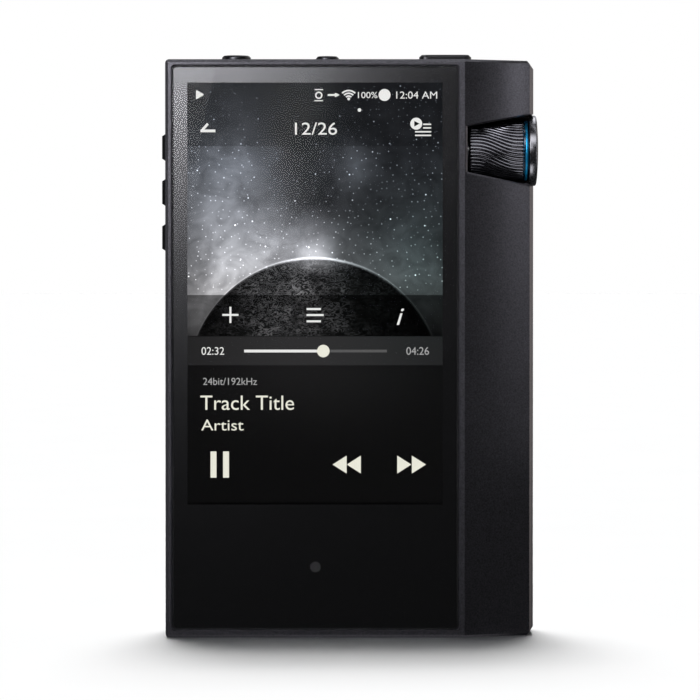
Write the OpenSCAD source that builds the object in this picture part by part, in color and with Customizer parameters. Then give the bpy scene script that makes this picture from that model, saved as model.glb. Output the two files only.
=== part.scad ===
// Pocket music player: an upright metal housing with a touch display in front, a slanted right
// side, and a ribbed volume wheel that lies in a notch of that side, near the top.
//
// +X is to the right, the display faces -Y and +Z is up. The origin is under the middle of the
// housing, on the surface that the player stands on. A depth is counted back from the front face.

/* [Housing] */
// Width of the housing, without its buttons and wheel
body_w = 61.8; // [61.6:0.1:62.4]
// Height of the housing, without what stands out of its top
body_h = 96.8; // [96.6:0.1:98]
// Depth of the housing, from its front face to its back face
body_d = 15.2; // [15.2:0.1:16]
// Thickness of the left, right, top and bottom walls
wall = 2; // [1.8:0.1:2]
// Bevel along the front edges
edge_chamfer = 0.5; // [0.2:0.05:0.8]
// Bevel along the back edges
rear_chamfer = 0.6; // [0.2:0.05:0.7]
// Radius of the two left corners, seen from the front
left_corner_r = 0.7; // [0.3:0.1:1.2]
// Width of the cut across each right corner, seen from the front
right_cut_w = 1.1; // [0.9:0.1:1.4]
// Height of the cut across each right corner, seen from the front
right_cut_h = 1.4; // [1.3:0.1:2]

/* [Slanted side] */
// Where the slope begins on the front face
slope_x = 19.2; // [19.1:0.1:19.6]
// Where the slope ends
slope_end_x = 30.25; // [30:0.05:30.4]
// How far back the slope reaches
slope_depth = 4.5; // [4.2:0.1:4.7]
// Depth at which the right side becomes upright
side_depth = 5.5; // [5.2:0.1:6]

/* [Front glass] */
// Left edge of the glass
glass_left = -29.8; // [-30:0.05:-29.6]
// Right edge of the glass
glass_right = 18.2; // [18:0.05:18.4]
// Lower edge of the glass
glass_bottom = 1.3; // [1.1:0.05:1.6]
// Upper edge of the glass
glass_top = 95.75; // [95.5:0.05:95.8]
// Thickness of the glass
glass_t = 0.8; // [0.6:0.05:0.8]
// Gap between the glass and the housing
glass_gap = 0.15; // [0.1:0.01:0.2]
// Corner radius of the glass
glass_r = 0.6; // [0.4:0.1:1]
// Distance from the glass's left edge to the touch key's middle
home_key_x = 24; // [20:0.5:28]
// Height of the touch key's middle
home_key_z = 11.8; // [9:0.1:13]

/* [Display] */
// Left edge of the display panel
panel_left = -28.2; // [-28.2:0.05:-28]
// Right edge of the display panel
panel_right = 16.6; // [16.4:0.05:16.6]
// Lower edge of the display panel
panel_bottom = 18; // [17.8:0.1:18.4]
// Upper edge of the display panel
panel_top = 94.2; // [93.8:0.1:94.2]

/* [Volume wheel] */
// Height of the wheel's axis
wheel_z = 81.8; // [81.6:0.1:82]
// Radius of the grip at its inner end
grip_inner_r = 4.6; // [4.4:0.05:4.7]
// Radius of the grip at its outer end
grip_outer_r = 5.1; // [4.9:0.05:5.2]
// Radius of the end cap
cap_r = 5.95; // [5.6:0.05:6]
// How far the end cap stands out of the side
cap_proud = 0.85; // [0.6:0.05:1]
// Half the notch's height at its inner end
notch_inner_h = 3.85; // [3.6:0.05:4]
// Half the notch's height at the housing's side
notch_outer_h = 6.05; // [5.8:0.05:6.2]

/* [Buttons] */
// How far the side buttons stand out
side_button_proud = 0.85; // [0.6:0.05:1]
// Height of one side button
side_button_h = 4.5; // [4:0.1:4.8]
// Depth of one side button
side_button_d = 2.6; // [2.2:0.1:2.8]
// Height of the middle side button
side_button_z = 74.7; // [74.5:0.1:75]
// Distance between the middles of neighbouring side buttons
side_button_pitch = 7.6; // [7.4:0.1:7.8]
// Middle of the power button
power_x = 16.1; // [16:0.1:16.3]
// Length of the power button
power_w = 8.8; // [8.2:0.1:8.8]
// Width of the power button
power_d = 2.8; // [2.6:0.1:3]
// How far the power button stands out of the top
power_proud = 1.15; // [0.8:0.05:1.2]
// How far each button is pressed
key_travel = 0.3; // [0.2:0.05:0.35]

/* [Sockets] */
// Middle of the 3.5 mm headphone socket
jack35_x = -19.2; // [-19.3:0.1:-19]
// Middle of the 2.5 mm balanced socket
jack25_x = -3.8; // [-4:0.1:-3.6]
// How far the headphone socket's collar stands out
collar35_proud = 1; // [0.6:0.05:1]
// How far the balanced socket's collar stands out
collar25_proud = 0.9; // [0.6:0.05:1]
// Height of the middle of the memory card's slot
card_z = 28; // [27:0.5:30]

/* [Battery] */
// Left edge of the battery
battery_left = -12.5; // [-12.5:0.1:-11]
// Right edge of the battery
battery_right = 27.2; // [24:0.1:27.2]
// Lower edge of the battery
battery_bottom = 9.8; // [9.8:0.1:12]
// Upper edge of the battery
battery_top = 60.5; // [54:0.5:60.5]

/* [Hidden] */

$fn = 64;
cut = 0.1;      // how far a cutting solid reaches past the face that it opens
fit = 0.05;     // gap between neighbouring pieces
left = -body_w / 2;
right = body_w / 2;
inner_left = left + wall;
inner_right = right - wall;
inner_top = body_h - wall;
mid_depth = body_d / 2;

// Depths of the layers, from front to back
pocket_depth = 1;
front_skin = 2.2;
backlight_back = 3.4;
bracket_front = 3.7;
bracket_back = 4.5;
board_front = 9.1;
board_back = 9.9;
cover_front = 14;
battery_d = [5.2, 11.8];

// Opening behind the glass that the display looks through
window_x = [panel_left - 0.2, panel_right + 0.3];
window_z = [panel_bottom - 0.5, panel_top + 0.2];

// Inside of the slanted wall
slope_angle = atan2(slope_depth, slope_end_x - slope_x);
slope_bevel_leg = 0.9 * edge_chamfer;
slope_inner_x = slope_x + 1.3;
slope_inner_depth = front_skin + (inner_right - slope_inner_x) * tan(slope_angle);

// Back cover and the rim around it
rim = rear_chamfer + 0.7;
cover_gap = 0.1;

// Volume wheel, along its axis
notch_x = 19.65;
notch_bevel_leg = 0.2;
grip_x = 20.05;
grip_end_x = 29.3;
groove_w = 0.17;
accent_x = grip_end_x + groove_w;
accent_end_x = accent_x + 0.45;
cap_x = accent_end_x + 0.23;
cap_end_x = right + cap_proud;
cap_recess_x = 30.05;
hub_r = 3.3;
groove_r = grip_outer_r - 0.3;
shaft_r = 1.5;
shaft_end_x = 28.4;
wheel_block_x = 18.2;
wheel_block_h = 7.9;
wheel_pocket_r = 5.5;
cap_recess_r = cap_r + 0.35;
encoder_x = 12.4;
encoder_h = 4.5;
rotor_cavity_r = 3.5;

// Buttons and their switches
side_flange_t = 0.5;
side_switch_x = inner_left + 1.1;
side_switch_t = 1.5;
plunger_r = 0.6;
plunger_bore_r = 0.7;
power_flange_t = 0.6;
power_flange_top = inner_top - fit;
power_switch_top = inner_top - 1.4;
side_keys_z = [for (i = [1, 0, -1]) side_button_z + i * side_button_pitch];

// Sockets
jack35_bore_r = 1.8;
jack25_bore_r = 1.3;
jack35_length = 15;
jack25_length = 11.5;
jack35_collar_r = 2.44;
jack25_collar_r = 1.93;
jack35_barrel_r = 2.1;
jack25_barrel_r = 1.6;
usb_z = [0.35, 5.85];
card_depth = [7.2, 8.75];
card_x = [inner_left + 0.3, -14.3];
card_h = 14.2;

// Screws: [x, z] of those that hold the board, and x of those that hold the back cover
board_screw_places = [[-26.6, 92], [6, 92], [26.9, 68], [-26.3, 5.2], [12, 5.2]];
case_screw_x = [-14, 14];
case_screw_depth = 12.6;
screw_r = 0.7;
screw_bore_r = 0.75;
boss_r = 1.6;

// ---- Shapes that repeat ----

// Depth counted from the front face, as a Y coordinate
function at_depth(d) = d - body_d / 2;

// A block between two values of X, of depth and of Z
module slab(x, d, z) {
    translate([x[0], at_depth(d[0]), z[0]])
        cube([x[1] - x[0], d[1] - d[0], z[1] - z[0]]);
}

// A round bar along X
module rod_x(x, r, d, z) {
    translate([x[0], at_depth(d), z]) rotate([0, 90, 0]) cylinder(h = x[1] - x[0], r = r);
}

// A round bar along the depth
module rod_d(x, d, r, z) {
    translate([x, at_depth(d[0]), z]) rotate([-90, 0, 0]) cylinder(h = d[1] - d[0], r = r);
}

// A round bar along Z
module rod_z(x, d, z, r) {
    translate([x, at_depth(d), z[0]]) cylinder(h = z[1] - z[0], r = r);
}

// An outline drawn from the front, stretched between two depths
module from_front(d) {
    translate([0, at_depth(d[1]), 0]) rotate([90, 0, 0]) linear_extrude(d[1] - d[0]) children();
}

// An outline of [x, depth] points, stretched between two heights
module from_top(z, points) {
    translate([0, at_depth(0), z[0]]) linear_extrude(z[1] - z[0]) polygon(points);
}

// An outline of [depth, z] points, stretched between two values of X
module from_side(x, points) {
    translate([x[0], at_depth(0), 0]) rotate([90, 0, 90]) linear_extrude(x[1] - x[0])
        polygon(points);
}

// A rectangle with round corners
module rounded_rect(x, z, r) {
    translate([x[0] + r, z[0]]) square([x[1] - x[0] - 2 * r, z[1] - z[0]]);
    translate([x[0], z[0] + r]) square([x[1] - x[0], z[1] - z[0] - 2 * r]);
    for (cx = [x[0] + r, x[1] - r]) {
        for (cz = [z[0] + r, z[1] - r]) {
            translate([cx, cz]) circle(r);
        }
    }
}

// A plate with round corners, seen from the front
module plate(x, d, z, r) {
    from_front(d) rounded_rect(x, z, r);
}

// A bar with round ends, seen from the top
module pill(x, z, half_d) {
    slab([x[0] + half_d, x[1] - half_d], [mid_depth - half_d, mid_depth + half_d], z);
    for (cx = [x[0] + half_d, x[1] - half_d]) {
        rod_z(cx, mid_depth, z, half_d);
    }
}

// ---- Housing ----

// Outline seen from the front: round corners on the left, cut corners on the right
module front_outline() {
    polygon([
        [left + left_corner_r, 0], [right - right_cut_w, 0], [right, right_cut_h],
        [right, body_h - right_cut_h], [right - right_cut_w, body_h],
        [left + left_corner_r, body_h], [left, body_h - left_corner_r], [left, left_corner_r]
    ]);
    for (cz = [left_corner_r, body_h - left_corner_r]) {
        translate([left + left_corner_r, cz]) circle(left_corner_r);
    }
}

// Cuts a bevel along a line on the slope, to `leg` away from the line. The line starts `along` from
// the slope's front edge, at height z, and dips by `dip` degrees. The bevel tilts by `tilt` degrees
// from the slope: positive for metal above the line, negative for metal below it.
module slope_bevel(along, z, dip, tilt, leg) {
    reach = 1.8;
    bite = leg * sin(abs(tilt));
    translate([slope_x, at_depth(0), 0]) rotate([0, 0, slope_angle])
        translate([along, 0, z]) rotate([0, dip, 0]) rotate([tilt, 0, 0])
            translate([0, -reach, -reach]) cube([18, reach + bite, 2 * reach]);
}

// The outer form, before it is hollowed
module body_blank() {
    difference() {
        intersection() {
            from_top([-cut, body_h + cut], [
                [left, edge_chamfer], [left + edge_chamfer, 0], [slope_x, 0],
                [slope_end_x, slope_depth], [right, side_depth],
                [right, body_d - rear_chamfer], [right - rear_chamfer, body_d],
                [left + rear_chamfer, body_d], [left, body_d - rear_chamfer]
            ]);
            from_front([-cut, body_d + cut]) front_outline();
            from_side([left - 1, right + 1], [
                [edge_chamfer, 0], [0, edge_chamfer], [0, body_h - edge_chamfer],
                [edge_chamfer, body_h], [body_d - rear_chamfer, body_h],
                [body_d, body_h - rear_chamfer], [body_d, rear_chamfer],
                [body_d - rear_chamfer, 0]
            ]);
        }
        slope_bevel(-1, 0, 0, 45, slope_bevel_leg);
        slope_bevel(-1, body_h, 0, -45, slope_bevel_leg);
    }
}

// The hollow inside, which leaves a block of metal around the volume wheel
module cavity() {
    difference() {
        from_top([wall, inner_top], [
            [inner_left, front_skin], [slope_inner_x, front_skin],
            [inner_right, slope_inner_depth], [inner_right, cover_front + cut],
            [inner_left, cover_front + cut]
        ]);
        slab([wheel_block_x, right], [0, cover_front],
            [wheel_z - wheel_block_h, wheel_z + wheel_block_h]);
    }
}

// A post for one board screw, tied to the wall nearest to it
module board_boss(place) {
    x = place[0];
    z = place[1];
    low = z < 20;
    start = low ? front_skin - cut : bracket_back + 0.1;
    span = [start, board_front - fit];
    rod_d(x, span, boss_r, z);
    if (x < -20) {
        slab([inner_left - cut, x], span, [z - boss_r, z + boss_r]);
    } else if (x > 20) {
        slab([x, inner_right + cut], span, [z - boss_r, z + boss_r]);
    } else if (!low) {
        slab([x - boss_r, x + boss_r], span, [z, inner_top + cut]);
    }
}

// Pocket, recess for the end cap and tapered notch of the volume wheel
module wheel_recess() {
    rod_x([notch_x, right + 1], wheel_pocket_r, mid_depth, wheel_z);
    rod_x([cap_recess_x, right + 1], cap_recess_r, mid_depth, wheel_z);
    rod_x([wheel_block_x - cut, notch_x + cut], 2.85, mid_depth, wheel_z);
    from_front([-cut, mid_depth]) translate([0, wheel_z]) polygon([
        [notch_x, -notch_inner_h], [right + cut, -notch_outer_h],
        [right + cut, notch_outer_h], [notch_x, notch_inner_h]
    ]);
    notch_edge_bevels();
}

// Fine bevels along the three edges where the notch meets the slope
module notch_edge_bevels() {
    start = (notch_x - slope_x) / cos(slope_angle);
    run = (right - notch_x) / cos(slope_angle);
    dip = atan2(notch_outer_h - notch_inner_h, run);
    bite = 0.7 * notch_bevel_leg;
    slope_bevel(start, wheel_z - notch_inner_h, dip, -28, 1.3 * notch_bevel_leg);
    slope_bevel(start, wheel_z + notch_inner_h, -dip, 45, notch_bevel_leg);
    translate([notch_x, at_depth((notch_x - slope_x) * tan(slope_angle)), 0])
        rotate([0, 0, 45])
            translate([-1, -2, wheel_z - notch_inner_h]) cube([2, 2 + bite, 2 * notch_inner_h]);
}

// Openings in the top wall: two sockets, the power button and the back cover's hooks
module top_openings() {
    rod_z(jack35_x, mid_depth, [inner_top - cut, body_h + cut], jack35_barrel_r + fit);
    rod_z(jack25_x, mid_depth, [inner_top - cut, body_h + cut], jack25_barrel_r + fit);
    pill([power_x - power_w / 2 - 0.08, power_x + power_w / 2 + 0.08],
        [inner_top - cut, body_h + cut], power_d / 2 + 0.08);
    for (x = [-10, 10]) {
        slab([x - 2.1, x + 2.1], [12.5, 13.5], [inner_top - cut, inner_top + 0.7]);
    }
}

// Openings in the left wall: three buttons and the memory card
module left_openings() {
    half_d = side_button_d / 2 + 0.08;
    half_h = side_button_h / 2 + 0.08;
    for (z = side_keys_z) {
        slab([left - cut, inner_left + cut], [mid_depth - half_d, mid_depth + half_d],
            [z - half_h, z + half_h]);
    }
    slab([left - cut, inner_left + cut], [7.45, 8.65], [card_z - 5.8, card_z + 5.8]);
}

// Openings in the bottom wall: the charging socket and two screws
module bottom_openings() {
    from_top([-cut, wall + cut], usb_outline(0.15));
    for (x = case_screw_x) {
        rod_z(x, case_screw_depth, [-cut, wall + cut], 0.8);
        rod_z(x, case_screw_depth, [-cut, 1], 1.25);
    }
}

module main_body() {
    color("#1d1d20") difference() {
        union() {
            difference() {
                body_blank();
                cavity();
            }
            for (place = board_screw_places) {
                board_boss(place);
            }
        }
        plate([glass_left - glass_gap, glass_right + glass_gap], [-cut, pocket_depth],
            [glass_bottom - glass_gap, glass_top + glass_gap], glass_r + glass_gap);
        plate(window_x, [pocket_depth - cut, front_skin + cut], window_z, 1);
        plate([left + rim, right - rim], [cover_front, body_d + cut], [rim, body_h - rim], 1.1);
        wheel_recess();
        top_openings();
        left_openings();
        bottom_openings();
        for (place = board_screw_places) {
            rod_d(place[0], [5.5, board_front], screw_bore_r, place[1]);
        }
    }
}

module back_cover() {
    edge = rim + cover_gap;
    color("#26262a") difference() {
        union() {
            plate([left + edge, right - edge], [cover_front + fit, body_d],
                [edge, body_h - edge], 1);
            for (x = case_screw_x) {
                slab([x - 2, x + 2], [11.4, cover_front + 0.2], [wall + fit, wall + 2.6]);
            }
            for (x = [-10, 10]) {
                slab([x - 2, x + 2], [12.6, cover_front + 0.2],
                    [inner_top - 1.2, inner_top - fit]);
                slab([x - 2, x + 2], [12.6, 13.4], [inner_top - 0.5, inner_top + 0.6]);
            }
        }
        for (x = case_screw_x) {
            rod_z(x, case_screw_depth, [wall - cut, wall + 3], screw_bore_r);
        }
    }
}

// ---- Front glass and display ----

module cover_glass() {
    color("#0c0d10") plate([glass_left, glass_right], [0, glass_t],
        [glass_bottom, glass_top], glass_r);
}

module glass_adhesive() {
    color("#3a3a3c") difference() {
        plate([glass_left + 0.1, glass_right - 0.1], [glass_t, pocket_depth],
            [glass_bottom + 0.1, glass_top - 0.1], glass_r);
        plate(window_x, [glass_t - cut, pocket_depth + cut], window_z, 1);
        rod_d(glass_left + home_key_x, [glass_t - cut, pocket_depth + cut], 2.4, home_key_z);
    }
}

module touch_sensor() {
    color("#555b60") plate([window_x[0] + 0.1, window_x[1] - 0.1], [glass_t, pocket_depth],
        [window_z[0] + 0.1, window_z[1] - 0.1], 1);
}

module home_key_sensor() {
    color("#b08d4a") rod_d(glass_left + home_key_x, [glass_t, pocket_depth], 2.2, home_key_z);
}

module lcd_panel() {
    color("#30343c") plate([panel_left, panel_right], [pocket_depth + fit, front_skin],
        [panel_bottom, panel_top], 0.4);
}

module backlight_unit() {
    color("#dfe3e6") plate([panel_left, panel_right], [front_skin, backlight_back],
        [panel_bottom + 1.2, panel_top], 0.4);
}

// A ribbon from the foot of the panel, back below the bracket, down to its connector
module display_flex() {
    x = [-25.3, -16.7];
    t = 0.15;
    front = front_skin + fit;
    turn_z = window_z[0] - 1.4;
    back = board_front - 0.6;
    color("#b5803a") {
        slab(x, [front, front + t], [turn_z, panel_bottom + 1]);
        slab(x, [front, back], [turn_z, turn_z + t]);
        slab(x, [back - t, back], [turn_z - 1.3, turn_z + t]);
    }
}

module display_bracket() {
    color("#8d9196") difference() {
        plate([panel_left, panel_right], [bracket_front, bracket_back],
            [panel_bottom, panel_top], 0.6);
        slab([encoder_x - 0.5, panel_right + cut], [bracket_front - cut, bracket_back + cut],
            [wheel_z - encoder_h - 0.4, wheel_z + encoder_h + 0.4]);
        for (z = [24, 46]) {
            plate([-24, 8], [bracket_front - cut, bracket_back + cut], [z, z + 16], 2);
        }
    }
}

// ---- Board and what it carries ----

// The board runs behind the display, passes the battery on the left and the wheel on the right
module main_board() {
    leg_x = battery_left - 1.4;
    notch = [encoder_x - 0.5, wheel_z - wheel_block_h - 0.5, wheel_z + wheel_block_h + 0.5];
    board_left = inner_left + 1;
    board_top = inner_top - 1.1;
    color("#1f5a3a") difference() {
        from_front([board_front, board_back]) polygon([
            [board_left, board_top], [20.8, board_top], [20.8, notch[2]],
            [notch[0], notch[2]], [notch[0], notch[1]], [inner_right - 0.5, notch[1]],
            [inner_right - 0.5, battery_top + 2], [leg_x, battery_top + 2],
            [leg_x, battery_bottom - 0.8], [14.4, battery_bottom - 0.8],
            [14.4, wall + 0.5], [board_left, wall + 0.5]
        ]);
        for (place = board_screw_places) {
            rod_d(place[0], [board_front - cut, board_back + cut], 0.85, place[1]);
        }
        slab([jack35_x - 3.3, jack35_x + 3.3], [board_front - cut, board_back + cut],
            [jack35_floor() - 1.8, inner_top]);
        slab([jack25_x - 2.7, jack25_x + 2.7], [board_front - cut, board_back + cut],
            [jack25_floor() - 1.8, inner_top]);
    }
}

// Chips are blocks on the front of the board, or on its back
module chip_front(x, z, size, t) {
    slab([x - size[0] / 2, x + size[0] / 2], [board_front - fit - t, board_front - fit],
        [z - size[1] / 2, z + size[1] / 2]);
}
module chip_back(x, z, size, t) {
    slab([x - size[0] / 2, x + size[0] / 2], [board_back + fit, board_back + fit + t],
        [z - size[1] / 2, z + size[1] / 2]);
}

// A pressed tin lid over a group of chips
module shield_can(x, z, size, h) {
    skin = 0.2;
    difference() {
        chip_front(x, z, size, h);
        chip_front(x, z, size - [2 * skin, 2 * skin], h - skin);
    }
}

module shield_cans() {
    color("#c3c6c8") {
        shield_can(-12, 70.5, [18, 14], 2);
        shield_can(4.8, 72.6, [11, 18], 2);
    }
}

module processor() {
    color("#151515") chip_front(-12, 70.5, [12, 12], 1.2);
}

module memory_chips() {
    color("#1b1b1b") {
        chip_back(-12, 70.5, [11, 12], 1);
        chip_back(2, 70.5, [10, 12], 1);
    }
}

module audio_converters() {
    color("#202022") {
        for (z = [68.6, 76.6]) {
            chip_front(4.8, z, [5, 5], 0.9);
        }
    }
}

module headphone_amplifiers() {
    color("#202022") {
        for (x = [-12.5, 1.8]) {
            chip_back(x, 86.5, [4, 4], 0.9);
        }
    }
}

module power_chip() {
    color("#202022") chip_front(-21, 45, [6, 6], 0.9);
}

module clock_crystals() {
    color("#d8dadb") {
        for (x = [-17.5, -22]) {
            chip_front(x, 39, [2.5, 3.2], 0.8);
        }
    }
}

module capacitors() {
    color("#c9a227") {
        for (x = [-12.9, -9.5]) {
            for (z = [80.2, 83.7, 90.8]) {
                chip_front(x, z, [2.6, 2.2], 1.8);
            }
        }
        for (z = [50, 54, 58]) {
            chip_front(-22, z, [3.2, 2.4], 1.9);
        }
    }
}

module display_connector() {
    color("#3b3226") chip_front(-21, 13.6, [9, 2.4], 1.1);
}

module wireless_module() {
    color("#b9bdc0") chip_back(18, 67, [10, 8], 1.6);
}

module antenna_film() {
    color("#a9743a") plate([-26, -6], [cover_front - 0.15, cover_front], [74, 90], 1);
}

// ---- Battery ----

module battery_cell() {
    color("#9aa0a6") plate([battery_left, battery_right], battery_d,
        [battery_bottom, battery_top], 1);
}

module battery_leads() {
    colors = ["#b02020", "#202020", "#c8b020"];
    for (i = [0:2]) {
        color(colors[i]) rod_x([battery_left - 1.7, battery_left], 0.4, 8.2, 51 + i);
    }
}

module battery_connector() {
    color("#e6e1d2") slab([battery_left - 5, battery_left - 1.7], [7.4, board_front - fit],
        [49.8, 54.2]);
}

module battery_adhesive() {
    color("#ececec") {
        for (z = [14, 49]) {
            slab([9, 15.5], [bracket_back, battery_d[0]], [z + 5, z + 9]);
        }
        slab([-11.5, -9], [bracket_back, battery_d[0]], [40.5, 45]);
    }
}

// ---- Headphone sockets ----

function jack35_floor() = body_h + collar35_proud - jack35_length;
function jack25_floor() = body_h + collar25_proud - jack25_length;

module jack_housing(x, half_w, half_d, floor_z, bore_r) {
    difference() {
        slab([x - half_w, x + half_w], [mid_depth - half_d, mid_depth + half_d],
            [floor_z - 1.5, inner_top - fit]);
        rod_z(x, mid_depth, [floor_z, inner_top], bore_r);
    }
}

// A turned ring, seated on the top face by its barrel
module jack_collar(x, collar_r, barrel_r, bore_r, proud) {
    bevel = 0.3;
    translate([x, 0, 0]) rotate_extrude() polygon([
        [bore_r, inner_top], [barrel_r, inner_top], [barrel_r, body_h], [collar_r, body_h],
        [collar_r, body_h + proud - bevel], [collar_r - bevel, body_h + proud],
        [bore_r, body_h + proud]
    ]);
}

module headphone_jack() {
    color("#18181a") jack_housing(jack35_x, 3.1, 2.6, jack35_floor(), jack35_bore_r);
}

module balanced_jack() {
    color("#18181a") jack_housing(jack25_x, 2.5, 2.1, jack25_floor(), jack25_bore_r);
}

module headphone_collar() {
    color("#232326") jack_collar(jack35_x, jack35_collar_r, jack35_barrel_r, jack35_bore_r,
        collar35_proud);
}

module balanced_collar() {
    color("#232326") jack_collar(jack25_x, jack25_collar_r, jack25_barrel_r, jack25_bore_r,
        collar25_proud);
}

// Solder tails of the sockets' contact springs, beside their housings
module jack_contacts() {
    tail = [board_front - fit - 0.3, board_front - fit];
    color("#d1b04c") {
        for (z = [84, 88, 92]) {
            slab([jack35_x + 3.1, jack35_x + 4.6], tail, [z, z + 1]);
            slab([jack25_x - 3.8, jack25_x - 2.5], tail, [z + 1, z + 2]);
        }
    }
}

// ---- Buttons ----

module power_button() {
    x = [power_x - power_w / 2, power_x + power_w / 2];
    r = power_d / 2;
    top = body_h + power_proud;
    bevel = 0.4;
    color("#242427") {
        pill([x[0] - 0.55, x[1] + 0.55], [power_flange_top - power_flange_t, power_flange_top],
            r + 0.5);
        from_side([x[0] + r, x[1] - r], [
            [mid_depth - r, power_flange_top - 0.1], [mid_depth + r, power_flange_top - 0.1],
            [mid_depth + r, top - bevel], [mid_depth + r - bevel, top],
            [mid_depth - r + bevel, top], [mid_depth - r, top - bevel]
        ]);
        for (cx = [x[0] + r, x[1] - r]) {
            rod_z(cx, mid_depth, [power_flange_top - 0.1, top - bevel], r);
            translate([cx, 0, top - bevel]) cylinder(h = bevel, r1 = r, r2 = r - bevel);
        }
    }
}

module power_switch() {
    color("#3f4043") difference() {
        slab([power_x - 2.35, power_x + 2.35], [6, board_front - fit],
            [power_switch_top - 2.6, power_switch_top]);
        rod_z(power_x, mid_depth, [power_switch_top - 1.4, power_switch_top + cut],
            plunger_bore_r);
    }
}

module power_switch_plunger() {
    color("#c9c2b0") rod_z(power_x, mid_depth,
        [power_switch_top - 0.95, power_flange_top - power_flange_t], plunger_r);
}

// One side button: a bevelled key with a flange behind the wall
module side_button(z) {
    outer = left - side_button_proud;
    half_h = side_button_h / 2;
    half_d = side_button_d / 2;
    bevel = 0.35;
    bevel_x = outer + 0.55;
    back = inner_left + fit;
    intersection() {
        from_front([mid_depth - half_d, mid_depth + half_d]) polygon([
            [back + 0.1, z - half_h], [bevel_x, z - half_h], [outer, z - half_h + bevel],
            [outer, z + half_h - bevel], [bevel_x, z + half_h], [back + 0.1, z + half_h]
        ]);
        from_top([z - half_h, z + half_h], [
            [back + 0.1, mid_depth - half_d], [bevel_x, mid_depth - half_d],
            [outer, mid_depth - half_d + bevel], [outer, mid_depth + half_d - bevel],
            [bevel_x, mid_depth + half_d], [back + 0.1, mid_depth + half_d]
        ]);
    }
    slab([back, back + side_flange_t],
        [mid_depth - half_d - 0.5, mid_depth + half_d + 0.5],
        [z - half_h - 0.5, z + half_h + 0.5]);
}

// The pin that carries one side button's press into its switch
module side_plunger(z) {
    rod_x([inner_left + fit + side_flange_t, side_switch_x + 0.55], plunger_r, mid_depth, z);
}

module previous_button() {
    color("#242427") side_button(side_keys_z[0]);
}
module play_button() {
    color("#242427") side_button(side_keys_z[1]);
}
module next_button() {
    color("#242427") side_button(side_keys_z[2]);
}
module previous_plunger() {
    color("#c9c2b0") side_plunger(side_keys_z[0]);
}
module play_plunger() {
    color("#c9c2b0") side_plunger(side_keys_z[1]);
}
module next_plunger() {
    color("#c9c2b0") side_plunger(side_keys_z[2]);
}

module side_switches() {
    x = [side_switch_x, side_switch_x + side_switch_t];
    color("#3f4043") {
        for (z = side_keys_z) {
            difference() {
                slab(x, [mid_depth - 1.4, mid_depth + 1.4], [z - 2, z + 2]);
                rod_x([x[0] - cut, x[0] + 0.95], plunger_bore_r, mid_depth, z);
            }
        }
    }
}

module side_key_flex() {
    x = side_switch_x + side_switch_t + fit;
    color("#b5803a") slab([x, x + 0.15], [mid_depth - 1.6, mid_depth + 1.4],
        [side_keys_z[2] - 4, side_keys_z[0] + 4]);
}

// An upright strip behind the side switches, with feet on the board
module key_bracket() {
    x = side_switch_x + side_switch_t + 0.2 + fit;
    color("#a9adb0") {
        slab([x, x + 0.6], [mid_depth - 1.8, board_front - fit],
            [side_keys_z[2] - 4.4, side_keys_z[0] + 4.4]);
        for (z = side_keys_z) {
            slab([x + 0.5, x + 2.4], [board_front - fit - 0.4, board_front - fit],
                [z - 3.9, z - 2.1]);
        }
    }
}

// ---- Volume wheel and its encoder ----

// A turned piece on the wheel's axis: points are [x, radius]
module turned(points) {
    translate([0, 0, wheel_z]) rotate([0, 90, 0]) rotate_extrude()
        polygon([for (p = points) [p[1], p[0]]]);
}

module volume_wheel() {
    bevel = 0.25;
    color("#141416") turned([
        [grip_x, hub_r], [grip_x, grip_inner_r - bevel], [grip_x + bevel, grip_inner_r],
        [grip_end_x - bevel, grip_outer_r], [grip_end_x, grip_outer_r - bevel],
        [grip_end_x, groove_r], [accent_x, groove_r], [accent_x, hub_r]
    ]);
}

module wheel_hub() {
    color("#232326") turned([
        [grip_x, shaft_r + 0.02], [grip_x, hub_r], [accent_end_x, hub_r],
        [accent_end_x, groove_r], [cap_x, groove_r], [cap_x, 2.02], [shaft_end_x + 0.2, 2.02],
        [shaft_end_x + 0.2, shaft_r + 0.02]
    ]);
}

module wheel_accent_ring() {
    color("#1677b5") turned([
        [accent_x, hub_r], [accent_x, grip_outer_r - 0.08], [accent_end_x, grip_outer_r - 0.02],
        [accent_end_x, hub_r]
    ]);
}

// The cap's face is a shallow dome, with a spigot that plugs into the hub
module wheel_end_cap() {
    rise = 0.3;
    bevel = 0.3;
    dome_edge_r = cap_r - bevel;
    dome_r = (dome_edge_r * dome_edge_r + rise * rise) / (2 * rise);
    steps = 8;
    half = asin(dome_edge_r / dome_r);
    color("#19191b") turned(concat(
        [[shaft_end_x + 0.4, 0], [shaft_end_x + 0.4, 2], [cap_x, 2], [cap_x, cap_r - 0.15],
            [cap_x + 0.15, cap_r], [cap_end_x - rise - bevel, cap_r]],
        [for (i = [0:steps])
            let (a = half * (1 - i / steps))
            [cap_end_x - dome_r * (1 - cos(a)), i == steps ? 0 : dome_r * sin(a)]]
    ));
}

module wheel_shaft() {
    color("#a5a8ab") rod_x([encoder_x + 1.4, shaft_end_x], shaft_r, mid_depth, wheel_z);
}

module encoder_rotor() {
    color("#cfc8b8") difference() {
        rod_x([encoder_x + 1.6, encoder_x + 3.8], rotor_cavity_r - 0.3, mid_depth, wheel_z);
        rod_x([encoder_x + 1.5, encoder_x + 3.9], shaft_r, mid_depth, wheel_z);
    }
}

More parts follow.
